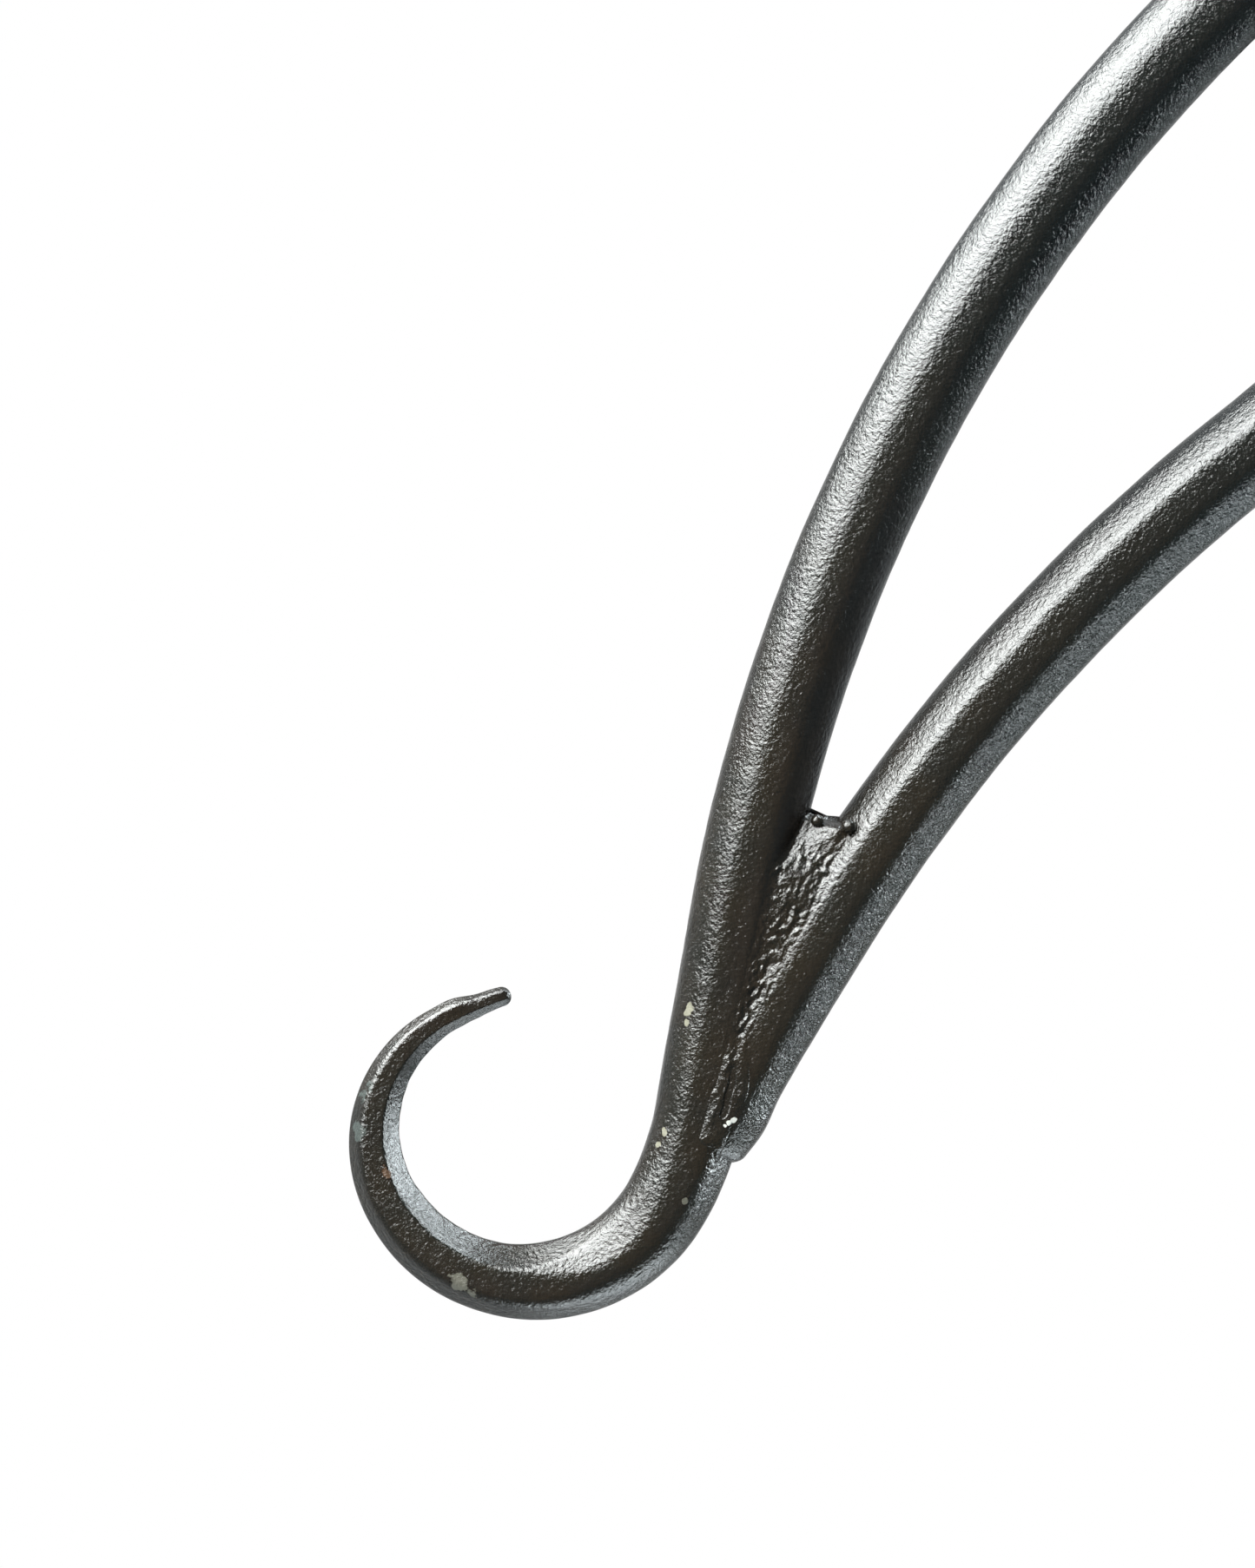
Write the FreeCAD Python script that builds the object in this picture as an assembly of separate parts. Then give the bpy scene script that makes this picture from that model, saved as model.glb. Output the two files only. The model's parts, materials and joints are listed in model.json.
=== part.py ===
"""Shutter dog holdback: two round bars welded into one S, turning on a post that stands off a wall plate.

Frame: X along the wall, Z up, -Y out of the wall. The origin is where the pivot axis meets the wall.
The dog is laid out flat in the XZ plane with its lower arm running down to the left, then it is turned
about the pivot until its weight hangs below the pivot, and moved out to its stand-off.
"""
import FreeCAD, Part
import math
import os
from FreeCAD import Vector

os.makedirs("parts", exist_ok=True)

# Dog layout, mm and degrees
bar_radius = 4.0
bar_offset = 15.0  # from the pivot axis to each bar's centre line, where the bars pass the hub
arm_heading = 219.0  # of both bars at the hub, anticlockwise from X, running down the lower arm
hang_turn = 40.9  # puts the dog's centre of mass under the pivot
upper_arm_share = 0.85  # the upper arm is this much of the lower one, so the lower arm hangs down

# Hooked bar of the lower arm, from the hub to its tip
hub_run = 15.0
sweep_radius = 137.0
neck_heading = 259.0
neck_run = 18.0
bend_radii = (23.0, 12.65, 10.6, 30.0)
bend_turns = (18.7, 121.3, 93.5, 8.5)

# Drawn-down taper of the hook
neck_end_radius = 3.55
tip_radius = 0.85
tip_ball_radius = 0.95
taper_power = 1.8
taper_sections = 20
facet_roundness = 0.2  # 1 is a round section, 0 a sharp octagon
facet_start = 18.0  # along the hook, where the facets are fully formed

# Scarf of the other bar on the neck
scarf_heading = 241.0
scarf_run = 12.6  # straight at the end of the scarf
scarf_along = 19.5  # end of the scarf, from the start of the neck along it
scarf_across = 1.0  # and to the side of the neck's centre line
scarf_taper_run = 26.0
scarf_end_radius = 3.1
scarf_sections = 6

# Weld beads of the scarf, one in front and one behind
seam_bead_radius = 1.8
seam_bead_sink = 0.8  # of its centre line below the crease between the bars
seam_bead_parting = 0.1  # between each bead and the bars' middle plane
seam_bead_top = 24.0  # its two ends, back along the scarf from the scarf's end
seam_bead_bottom = 5.0
bead_taper_share = 0.3  # of a bead's length, at each end
bead_tip_share = 0.45  # of a bead's radius

# Hub and its welds
hub_length = 14.0
hub_bite = 0.4  # how far each bar is let into the hub
hub_bead_radius = 2.1
hub_bead_length = 15.0
hub_bead_depth = 3.6  # of the beads' centre lines, in front of and behind the bars' plane
hub_bead_inset = 3.7  # from the bars' centre line towards the hub

# Post, plate and fasteners
stand_off = 48.0
journal_radius = 5.0
running_clearance = 0.06
side_play = 0.15
post_radius = 7.0
post_spigot_radius = 4.5
thread_radius = 4.0
thread_end_gap = 1.5
washer_radius = 9.5
washer_thickness = 1.6
nut_across_flats = 13.0
lock_nut_height = 4.0
cap_nut_hex_height = 6.5
cap_nut_dome_radius = 6.0
cap_nut_collar = 2.0
plate_radius = 24.0
plate_thickness = 5.0
plate_edge_round = 2.5
post_weld_leg = 2.4
post_weld_bulge = 0.6  # 0.5 would be a flat face
screw_count = 4
screw_circle_radius = 17.0
screw_first_angle = 45.0
screw_neck_radius = 2.7  # plain, through the plate
screw_thread_radius = 2.4
screw_length = 32.0  # behind the plate
screw_point = 5.0
screw_point_tip_radius = 0.3
screw_head_across_flats = 8.0
screw_head_height = 3.6
nut_chamfer = 0.7

FRONT = Vector(0, -1, 0)
CENTRE = Vector(0, 0, 0)


def direction(heading):
    """Unit vector in the XZ plane, anticlockwise from X."""
    return Vector(math.cos(math.radians(heading)), 0, math.sin(math.radians(heading)))


class Path:
    """Straights and tangent arcs in the XZ plane, walked from a point. A positive turn is anticlockwise."""

    def __init__(self, start, heading):
        self.end = start
        self.heading = heading
        self.length = 0.0
        self.legs = []
        self.edges = []

    def straight(self, run):
        self._add(run, 0.0)

    def arc(self, radius, turn):
        self._add(radius * math.radians(abs(turn)), turn)

    def _add(self, run, turn):
        leg = (self.length, run, self.end, self.heading, turn)
        middle = self._on(leg, run / 2)[0]
        finish, heading = self._on(leg, run)
        straight = turn == 0.0
        curve = Part.LineSegment(self.end, finish) if straight else Part.Arc(self.end, middle, finish)
        self.legs.append(leg)
        self.edges.append(curve.toShape())
        self.length += run
        self.end = finish
        self.heading = heading

    def _on(self, leg, distance):
        """Point and heading at a distance from the start of one leg."""
        start, run, point, heading, turn = leg
        turned = turn * distance / run
        chord = distance
        if turned != 0.0:
            half = math.radians(turned / 2)
            chord = distance * math.sin(half) / half
        return point + direction(heading + turned / 2) * chord, heading + turned

    def at(self, distance):
        """Point and heading at a distance from the start of the path."""
        leg = [leg for leg in self.legs if leg[0] <= distance + 1e-9][-1]
        return self._on(leg, distance - leg[0])

    def wire(self):
        return Part.Wire(self.edges)


def straight_and_arc(start, heading, end, end_heading):
    """Length of a straight and radius of the arc after it that lead from one end to the other."""
    first, last = math.radians(heading), math.radians(end_heading)
    arc_x = math.sin(last) - math.sin(first)
    arc_z = math.cos(first) - math.cos(last)
    gap = end - start
    determinant = math.cos(first) * arc_z - math.sin(first) * arc_x
    run = (gap.x * arc_z - gap.z * arc_x) / determinant
    radius = (math.cos(first) * gap.z - math.sin(first) * gap.x) / determinant
    return run, radius


def section(path, distance, radius, roundness):
    """Eight-sided section across a path, its sides bowed out by their roundness."""
    centre, heading = path.at(distance)
    side = direction(heading + 90)

    def rim(angle, reach):
        turn = math.radians(angle)
        return centre + (side * math.cos(turn) + FRONT * math.sin(turn)) * reach

    step = 45.0
    flat = math.cos(math.radians(step / 2))
    bow = radius * (flat + (1 - flat) * roundness)
    edges = []
    for side_number in range(8):
        angle = step * side_number
        corners = rim(angle - step / 2, radius), rim(angle + step / 2, radius)
        edges.append(Part.Arc(corners[0], rim(angle, bow), corners[1]).toShape())
    return Part.Wire(edges)


def round_bar(path, radius):
    """Round bar along a whole path."""
    ring = Part.Wire([Part.makeCircle(radius, path.legs[0][2], direction(path.legs[0][3]))])
    return path.wire().makePipeShell([ring], True, False)


def bead(start, end, radius):
    """Weld bead between two points: a round rod whose two ends taper to blunt tips."""
    along = end - start
    length = along.Length
    taper = length * bead_taper_share
    along.normalize()
    rod = Part.makeCylinder(radius, length - 2 * taper, start + along * taper, along)
    tail = Part.makeCone(radius * bead_tip_share, radius, taper, start, along)
    nose = Part.makeCone(radius, radius * bead_tip_share, taper, end - along * taper, along)
    return one_solid(rod.fuse([tail, nose]))


def hook_radius_at(share):
    """Radius of the hook where this share of its length is behind."""
    return neck_end_radius - (neck_end_radius - tip_radius) * share ** taper_power


def hooked_bar(share):
    """Half bar with the hook, and its path up to the start of the neck and from there on."""
    sweep = Path(direction(arm_heading - 90) * bar_offset, arm_heading)
    sweep.straight(hub_run * share)
    sweep.arc(sweep_radius * share, neck_heading - arm_heading)
    neck = Path(sweep.end, neck_heading)
    neck.straight(neck_run * share)
    hook_start = neck.length
    for radius, turn in zip(bend_radii, bend_turns):
        neck.arc(radius * share, -turn)
    hook_length = neck.length - hook_start
    rings = [section(neck, 0.0, bar_radius, 1.0)]
    for step in range(taper_sections + 1):
        gone = step / taper_sections
        formed = min(1.0, gone * hook_length / facet_start)
        roundness = 1.0 - (1.0 - facet_roundness) * formed
        rings.append(section(neck, hook_start + gone * hook_length, hook_radius_at(gone), roundness))
    taper = Part.makeLoft(rings, True, True)
    ball = Part.makeSphere(tip_ball_radius, neck.end)
    return one_solid(round_bar(sweep, bar_radius).fuse([taper, ball])), sweep, neck


def scarfed_bar(share, neck):
    """Half bar that runs onto the neck of the other bar, and its path."""
    neck_start = neck.legs[0][2]
    neck_side = direction(neck_heading + 90)
    finish = neck_start + direction(neck_heading) * scarf_along * share + neck_side * scarf_across
    arc_end = finish - direction(scarf_heading) * scarf_run * share
    path = Path(direction(arm_heading + 90) * bar_offset, arm_heading)
    run, radius = straight_and_arc(path.end, arm_heading, arc_end, scarf_heading)
    taper_turn = math.degrees((scarf_taper_run - scarf_run * share) / radius)
    path.straight(run)
    path.arc(radius, scarf_heading - arm_heading - taper_turn)
    bar = round_bar(path, bar_radius)
    tail_start = path.length
    path.arc(radius, taper_turn)
    path.straight(scarf_run * share)
    rings = []
    for step in range(scarf_sections + 1):
        gone = step / scarf_sections
        reach = bar_radius - (bar_radius - scarf_end_radius) * gone
        rings.append(section(path, tail_start + scarf_taper_run * gone, reach, 1.0))
    return one_solid(bar.fuse(Part.makeLoft(rings, True, True))), path


def seam_point(path, back, other, depth_sign):
    """Point in the crease between the scarf and the other bar, a distance back from the scarf's end."""
    centre = path.at(path.length - back)[0]
    nearest = other.distToShape(Part.Vertex(centre))[1][0][0]
    half_gap = (centre - nearest).Length / 2
    crease = math.sqrt(max(bar_radius ** 2 - half_gap ** 2, 0.0))
    depth = max(crease - seam_bead_sink, seam_bead_radius + seam_bead_parting)
    return (centre + nearest) * 0.5 + FRONT * depth_sign * depth


def one_solid(shape):
    """The single solid that a joining or a cut leaves, without the seams of its making."""
    solids = shape.removeSplitter().Solids
    if len(solids) != 1:
        raise ValueError("%d solids where there should be one" % len(solids))
    return solids[0]


def largest_solid(shape):
    return max(shape.Solids, key=lambda solid: solid.Volume)


def make_arm(share):
    """One arm, running down to the left: its hooked half bar, its scarfed half bar and two seam beads."""
    hooked, sweep, neck = hooked_bar(share)
    scarfed, path = scarfed_bar(share, neck)
    scarfed = largest_solid(scarfed.cut(hooked))
    centre_line = Part.Wire(sweep.edges + neck.edges)
    beads = []
    for depth_sign in (1, -1):
        top = seam_point(path, seam_bead_top * share, centre_line, depth_sign)
        bottom = seam_point(path, seam_bead_bottom * share, centre_line, depth_sign)
        beads.append(largest_solid(bead(top, bottom, seam_bead_radius).cut(hooked).cut(scarfed)))
    return hooked, scarfed, beads


def turned_half_round(shape):
    """The same shape on the opposite arm."""
    other = shape.copy()
    other.rotate(CENTRE, FRONT, 180)
    return other


def ring(outer, inner, back, thickness):
    """Flat ring about the pivot axis. Back is the distance of its wall side from the wall."""
    start = FRONT * back
    disc = Part.makeCylinder(outer, thickness, start, FRONT)
    return disc.cut(Part.makeCylinder(inner, thickness, start, FRONT))


def front_rim(disc):
    """The edges of a disc that lie furthest out from the wall."""
    front = max(edge.CenterOfMass.dot(FRONT) for edge in disc.Edges)
    return [edge for edge in disc.Edges if front - edge.CenterOfMass.dot(FRONT) < 1e-6]


def hexagon(across_flats, height, start):
    """Hexagonal prism standing out from the wall, its outer corners turned off."""
    corner_radius = across_flats / math.sqrt(3)
    corners = [start + direction(60 * corner) * corner_radius for corner in range(7)]
    prism = Part.Face(Part.makePolygon(corners)).extrude(FRONT * height)
    blank = Part.makeCylinder(corner_radius, height, start, FRONT)
    return prism.common(blank.makeChamfer(nut_chamfer, front_rim(blank)))


def make_wall_plate():
    disc = Part.makeCylinder(plate_radius, plate_thickness, CENTRE, FRONT)
    plate = disc.makeFillet(plate_edge_round, front_rim(disc))
    plate = plate.cut(Part.makeCylinder(post_spigot_radius, plate_thickness, CENTRE, FRONT))
    for place in screw_places():
        plate = plate.cut(Part.makeCylinder(screw_neck_radius, plate_thickness, place, FRONT))
    return plate


def screw_places():
    step = 360.0 / screw_count
    angles = [screw_first_angle + step * number for number in range(screw_count)]
    return [direction(angle) * screw_circle_radius for angle in angles]


def make_wall_screw(place):
    """Coach screw: hexagonal head on the plate, plain neck through it, then thread and point in the wall."""
    inward = FRONT * -1
    thread_length = screw_length - screw_point
    neck = Part.makeCylinder(screw_neck_radius, plate_thickness, place, FRONT)
    thread = Part.makeCylinder(screw_thread_radius, thread_length, place, inward)
    point_start = place + inward * thread_length
    point = Part.makeCone(screw_thread_radius, screw_point_tip_radius, screw_point, point_start, inward)
    head = hexagon(screw_head_across_flats, screw_head_height, place + FRONT * plate_thickness)
    return one_solid(head.fuse([neck, thread, point]))


def make_post_weld():
    """Fillet weld of the post on the plate."""
    inner = Vector(post_radius, -plate_thickness, 0)
    outer = Vector(post_radius + post_weld_leg, -plate_thickness, 0)
    top = Vector(post_radius, -plate_thickness - post_weld_leg, 0)
    bulge = inner + (outer - inner + top - inner) * post_weld_bulge
    crown = Part.Arc(outer, bulge, top).toShape()
    outline = Part.Wire([Part.makeLine(inner, outer), crown, Part.makeLine(top, inner)])
    return Part.Face(outline).revolve(CENTRE, FRONT, 360)


# Stations along the pivot axis, as distances from the wall
hub_back = stand_off - hub_length / 2
back_washer_at = hub_back - side_play - washer_thickness
front_washer_at = stand_off + hub_length / 2 + side_play
lock_nut_at = front_washer_at + washer_thickness
cap_nut_at = lock_nut_at + lock_nut_height
thread_end = cap_nut_at + cap_nut_hex_height + cap_nut_collar
hub_radius = bar_offset - bar_radius + hub_bite


def make_pivot_post():
    """Spigot in the plate, thick stem, shoulder, journal and threaded end."""
    spigot = Part.makeCylinder(post_spigot_radius, plate_thickness, CENTRE, FRONT)
    stem = Part.makeCylinder(post_radius, back_washer_at - plate_thickness, FRONT * plate_thickness, FRONT)
    journal = Part.makeCylinder(journal_radius, lock_nut_at - back_washer_at, FRONT * back_washer_at, FRONT)
    thread = Part.makeCylinder(thread_radius, thread_end - lock_nut_at, FRONT * lock_nut_at, FRONT)
    return one_solid(spigot.fuse([stem, journal, thread]))


def make_cap_nut():
    """Domed nut that closes over the end of the thread."""
    start = FRONT * cap_nut_at
    body = hexagon(nut_across_flats, cap_nut_hex_height, start)
    top = FRONT * (cap_nut_at + cap_nut_hex_height)
    collar = Part.makeCylinder(cap_nut_dome_radius, cap_nut_collar, top, FRONT)
    dome_centre = top + FRONT * cap_nut_collar
    dome = Part.makeSphere(cap_nut_dome_radius, dome_centre)
    blind_hole = Part.makeCylinder(thread_radius, thread_end - cap_nut_at + thread_end_gap, start, FRONT)
    return one_solid(body.fuse([collar, dome]).cut(blind_hole))


def make_lock_nut():
    start = FRONT * lock_nut_at
    nut = hexagon(nut_across_flats, lock_nut_height, start)
    return nut.cut(Part.makeCylinder(thread_radius, lock_nut_height, start, FRONT))


def make_pivot_hub(bars):
    """Barrel between the bars, let into both of them."""
    start = FRONT * (-hub_length / 2)
    barrel = Part.makeCylinder(hub_radius, hub_length, start, FRONT)
    bore = Part.makeCylinder(journal_radius + running_clearance, hub_length, start, FRONT)
    hub = barrel.cut(bore)
    return one_solid(hub.cut(bars[0]).cut(bars[1]))


def make_hub_bead(side_sign, depth_sign, around):
    """Weld bead between the hub and one bar, in front of or behind the bars' plane."""
    along = direction(arm_heading)
    offset = direction(arm_heading + 90) * side_sign * (bar_offset - hub_bead_inset)
    middle = offset + FRONT * depth_sign * hub_bead_depth
    half = along * hub_bead_length / 2
    deposit = bead(middle - half, middle + half, hub_bead_radius)
    for solid in around:
        deposit = deposit.cut(solid)
    return largest_solid(deposit)


def make_dog():
    """All the pieces of the dog, laid out flat about the pivot."""
    lower_hooked, lower_scarfed, lower_beads = make_arm(1.0)
    upper = make_arm(upper_arm_share)
    upper_hooked, upper_scarfed = turned_half_round(upper[0]), turned_half_round(upper[1])
    lower_bar = one_solid(lower_hooked.fuse(upper_scarfed))
    upper_bar = one_solid(upper_hooked.fuse(lower_scarfed))
    hub = make_pivot_hub((lower_bar, upper_bar))
    pieces = {"lower_hook_bar": lower_bar, "upper_hook_bar": upper_bar, "pivot_hub": hub}
    for face, lower_bead, upper_bead in zip(("front", "back"), lower_beads, upper[2]):
        pieces["lower_seam_weld_" + face] = lower_bead
        pieces["upper_seam_weld_" + face] = turned_half_round(upper_bead)
    for face, depth_sign in (("front", 1), ("back", -1)):
        for bar_name, side_sign in (("lower", -1), ("upper", 1)):
            deposit = make_hub_bead(side_sign, depth_sign, (lower_bar, upper_bar, hub))
            pieces["hub_weld_" + bar_name + "_bar_" + face] = deposit
    return pieces


def hang(shape):
    """Turn a piece of the dog to its hanging rest and move it out to its stand-off."""
    shape.rotate(CENTRE, FRONT, hang_turn)
    shape.translate(FRONT * stand_off)
    return shape


nodes = {name: hang(shape) for name, shape in make_dog().items()}
dog_mass = sum(shape.Volume for shape in nodes.values())
dog_centre_x = sum(shape.Volume * shape.CenterOfMass.x for shape in nodes.values()) / dog_mass
dog_centre_z = sum(shape.Volume * shape.CenterOfMass.z for shape in nodes.values()) / dog_mass
print("dog centre of mass: x %.2f, z %.2f mm" % (dog_centre_x, dog_centre_z))

nodes["wall_plate"] = make_wall_plate()
nodes["pivot_post"] = make_pivot_post()
nodes["post_weld"] = make_post_weld()
nodes["back_washer"] = ring(washer_radius, journal_radius, back_washer_at, washer_thickness)
nodes["front_washer"] = ring(washer_radius, journal_radius, front_washer_at, washer_thickness)
nodes["lock_nut"] = make_lock_nut()
nodes["cap_nut"] = make_cap_nut()
for number, place in enumerate(screw_places(), start=1):
    nodes["wall_screw_%d" % number] = make_wall_screw(place)

for name, shape in nodes.items():
    if not shape.isValid() or len(shape.Solids) != 1:
        raise ValueError(name + " is not one valid solid")
    shape.exportStep("parts/" + name + ".step")
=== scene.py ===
"""Looks of the shutter dog holdback: forged bars, welds, hub, post and wall plate in gloss black paint.

The dog is laid out flat in mm as (right, up, out) about its pivot, its lower arm running down to the left,
and then turned to its hanging rest and moved into the row's frame, which is in metres.
"""
import json
import math

import bmesh
import bpy
import numpy as np
from mathutils import Matrix, Vector


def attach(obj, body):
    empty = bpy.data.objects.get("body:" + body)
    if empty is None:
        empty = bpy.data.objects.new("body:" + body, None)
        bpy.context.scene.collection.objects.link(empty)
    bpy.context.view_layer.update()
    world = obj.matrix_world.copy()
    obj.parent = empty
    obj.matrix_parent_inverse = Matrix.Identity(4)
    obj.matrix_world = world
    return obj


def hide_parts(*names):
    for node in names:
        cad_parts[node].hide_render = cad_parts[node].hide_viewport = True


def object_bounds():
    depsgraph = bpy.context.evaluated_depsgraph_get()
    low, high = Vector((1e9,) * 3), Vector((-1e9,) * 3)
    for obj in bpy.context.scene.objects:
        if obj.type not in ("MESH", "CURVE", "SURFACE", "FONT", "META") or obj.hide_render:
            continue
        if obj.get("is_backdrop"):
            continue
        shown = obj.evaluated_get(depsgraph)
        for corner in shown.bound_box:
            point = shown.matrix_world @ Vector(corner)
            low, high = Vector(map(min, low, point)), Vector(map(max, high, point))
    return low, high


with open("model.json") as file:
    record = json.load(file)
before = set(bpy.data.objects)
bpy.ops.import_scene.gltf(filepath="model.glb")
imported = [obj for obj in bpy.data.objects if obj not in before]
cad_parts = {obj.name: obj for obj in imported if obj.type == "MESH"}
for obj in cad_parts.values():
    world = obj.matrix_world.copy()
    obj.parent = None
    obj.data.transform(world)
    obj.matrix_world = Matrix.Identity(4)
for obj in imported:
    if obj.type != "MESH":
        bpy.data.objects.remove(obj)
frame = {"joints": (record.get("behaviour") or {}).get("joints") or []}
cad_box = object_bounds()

MM = 0.001
PIVOT = np.array(frame["joints"][0]["pos_m"])

# Layout of the dog, mm and degrees, the same as the model's
HANG_TURN = 40.9
BAR_OFFSET = 15.0
ARM_HEADING = 219.0
UPPER_ARM_SHARE = 0.85
HUB_RUN = 15.0
SWEEP_RADIUS = 137.0
NECK_HEADING = 259.0
NECK_RUN = 18.0
BENDS = ((23.0, 18.7), (12.65, 121.3), (10.6, 93.5), (30.0, 8.5))
SCARF_HEADING = 241.0
SCARF_ALONG = 19.5
SCARF_ACROSS = 1.0
SCARF_RUN = 12.6

# Section of the bars, mm, and the flats that the hammer left as (facing, distance over radius). Facing 0
# is the right flank of the lower arm and the outside of its hook, 90 the front, 180 the other flank.
WAIST_RADIUS = 4.1
NECK_START_RADIUS = 3.88
NECK_END_RADIUS = 3.55
TIP_RADIUS = 0.80
TAPER_POWER = 1.8
SCARF_TAPER_RUN = 26.0
SCARF_END_RADIUS = 3.35
HOOK_FLATS = ((90, 0.89), (144, 0.80), (28, 0.90))
HOOK_FOOT_FLATS = ((114, 0.875),)
NECK_FLATS = ((90, 0.945), (34, 0.93))
SCARF_FLATS = ((90, 0.965), (44, 0.935), (134, 0.958))
FLAT_SHARPNESS = 44.0
# Domes that close a bar's scarfed end and its hook's nose, as their height over their radius
TAIL_SHARE = 0.5
NOSE_SHARE = 0.96
# Swellings as (place from the bar's end in mm, width in mm, size over the bar's radius)
TIP_HUMP = (4.6, 1.0, 0.13)
TIP_DIP = (2.5, 0.9, 0.104)
SCARF_SWELL = (4.0, 2.2, 0.10)
# Hammer marks and lumps as (grain, depth), mm, from broad to fine, and those inside the hook's curl
LUMPS = ((8.0, 0.045), (2.8, 0.020), (1.1, 0.010))
CURL_LUMPS = (1.3, 0.05)
STATION_STEP = 0.36
RING_POINTS = 96

# Seam weld, mm: its top, back from the scarf's end, how far it runs past that end, and its grid
SEAM_TOP = 28.9
SEAM_PAST_END = 1.8
SEAM_STEP = 0.15
SEAM_COLUMNS = 80
SEAM_LEAST_WIDTH = 2.6
SEAM_UNDERSIDE = 0.05
# Its side borders over the bars' radii: from each bar's middle at the crotch, how much they climb towards
# it below, and how far past each bar's middle they are at the scarf's end
BORDER_AT_CROTCH = 0.60
BORDER_CLIMB = 0.45
BORDER_PAST_NECK = 0.15
BORDER_PAST_SCARF = 0.72
# Its fill, mm: height at the lip, rise after it, depth under the neck's top, and greatest height
LIP_HEIGHT = 1.35
FILL_RISE = 2.35
FILL_BELOW_NECK = 0.20
FILL_TOP = 3.48
# How far its skin, its borders and its end sink into the bars, and its lip's rounding and dip, mm
SEAM_SINK = 0.09
EDGE_SINK = 0.30
END_SINK = 0.6
LIP_ROUND = 1.0
LIP_DIP = 0.8
# Its crevice beside the scarf's end, by its two ends as (along from that end, across), its depth and width
CREVICE = ((-6.2, 2.0), (-1.6, 1.9))
CREVICE_DEPTH = 0.8
CREVICE_WIDTH = 0.17
# Its spatter balls: (outwards from the bar's flank, down from the lip, radius), and how far out over radius
NECK_SPATTER = (0.7, 0.5, 0.52)
SCARF_SPATTER = (0.5, 0.7, 0.60)
SPATTER_OUT = 0.85

# Hub and its welds, mm
STAND_OFF = 48.0
HUB_LENGTH = 14.0
HUB_RADIUS = 11.4
HUB_BORE_RADIUS = 5.06
HUB_BEAD_RADIUS = 2.1
HUB_BEAD_LENGTH = 15.0
HUB_BEAD_DEPTH = 3.6
HUB_BEAD_INSET = 3.7
HUB_BEAD_PITCH = 1.15
HUB_BEAD_STEP = 0.12

# Mount, mm, with stations measured from the wall
PLATE_RADIUS = 24.0
PLATE_THICKNESS = 5.0
POST_RADIUS = 7.0
POST_SPIGOT_RADIUS = 4.5
POST_WELD_LEG = 2.4
POST_WELD_RIPPLES = 34
JOURNAL_RADIUS = 5.0
THREAD_RADIUS = 4.0
WASHER_RADIUS = 9.5
WASHER_THICKNESS = 1.6
BACK_WASHER_AT = 39.25
FRONT_WASHER_AT = 55.15
LOCK_NUT_AT = 56.75
CAP_NUT_AT = 60.75
CAP_NUT_HEX_HEIGHT = 6.5
CAP_NUT_COLLAR = 2.0
DOME_RADIUS = 6.0
THREAD_END = 69.25
NUT_FLATS = 13.0
SCREW_CIRCLE = 17.0
SCREW_FIRST_ANGLE = 45.0
SCREW_HEAD_FLATS = 8.0
SCREW_HEAD_HEIGHT = 3.6
SCREW_NECK_RADIUS = 2.7
SCREW_THREAD_RADIUS = 2.4
SCREW_ROOT_RADIUS = 1.75
SCREW_PITCH = 2.0
SCREW_LENGTH = 32.0

# View, mm in the layout, square to the dog's plane and rolled by the hang turn, and the floor in metres
VIEW_CENTRE = (-78.52, -69.30)
VIEW_HEIGHT = 125.63
VIEW_DISTANCE = 620.0
FLOOR_DROP = 0.31
FLOOR_RADIUS = 1.0
SENSOR = 36.0


# ---- layout -------------------------------------------------------------------------------------

def direction(heading):
    """Unit vectors (right, up) of headings in degrees, anticlockwise from right."""
    angle = np.radians(heading)
    return np.stack([np.cos(angle), np.sin(angle)], axis=-1)


def place(flat):
    """Layout points in mm to the row's frame in metres, at the hanging rest."""
    flat = np.atleast_2d(flat)
    turn = math.radians(HANG_TURN)
    right = flat[:, 0] * math.cos(turn) - flat[:, 1] * math.sin(turn)
    up = flat[:, 0] * math.sin(turn) + flat[:, 1] * math.cos(turn)
    return PIVOT + MM * np.stack([right, -flat[:, 2], up], axis=1)


def axis_of(flat):
    """A layout direction in the row's frame."""
    return Vector((place(flat) - PIVOT)[0]).normalized()


class Path:
    """Straights and tangent arcs in the layout plane, as finely spaced points with their headings."""

    def __init__(self, start, heading):
        self.points = [np.array(start, float)]
        self.headings = [float(heading)]

    def run(self, length, turn=0.0):
        """Walk on by a length while turning evenly; a positive turn is anticlockwise."""
        count = max(2, int(math.ceil(length / STATION_STEP)))
        step = length / count
        for _ in range(count):
            heading = self.headings[-1] + turn / count
            middle = self.headings[-1] + turn / count / 2
            self.points.append(self.points[-1] + direction(middle) * step)
            self.headings.append(heading)

    def arc(self, radius, turn):
        self.run(radius * math.radians(abs(turn)), turn)

    def lengths(self):
        steps = np.diff(np.array(self.points), axis=0)
        return np.concatenate([[0.0], np.cumsum(np.hypot(steps[:, 0], steps[:, 1]))])

    def arrays(self):
        return np.array(self.points), np.array(self.headings), self.lengths()


def straight_and_arc(start, heading, end, end_heading):
    """Length of a straight and radius of the arc after it that lead from one end to the other."""
    first, last = math.radians(heading), math.radians(end_heading)
    matrix = np.array([[math.cos(first), math.sin(last) - math.sin(first)],
                       [math.sin(first), math.cos(first) - math.cos(last)]])
    return np.linalg.solve(matrix, np.array(end) - np.array(start))


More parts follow.
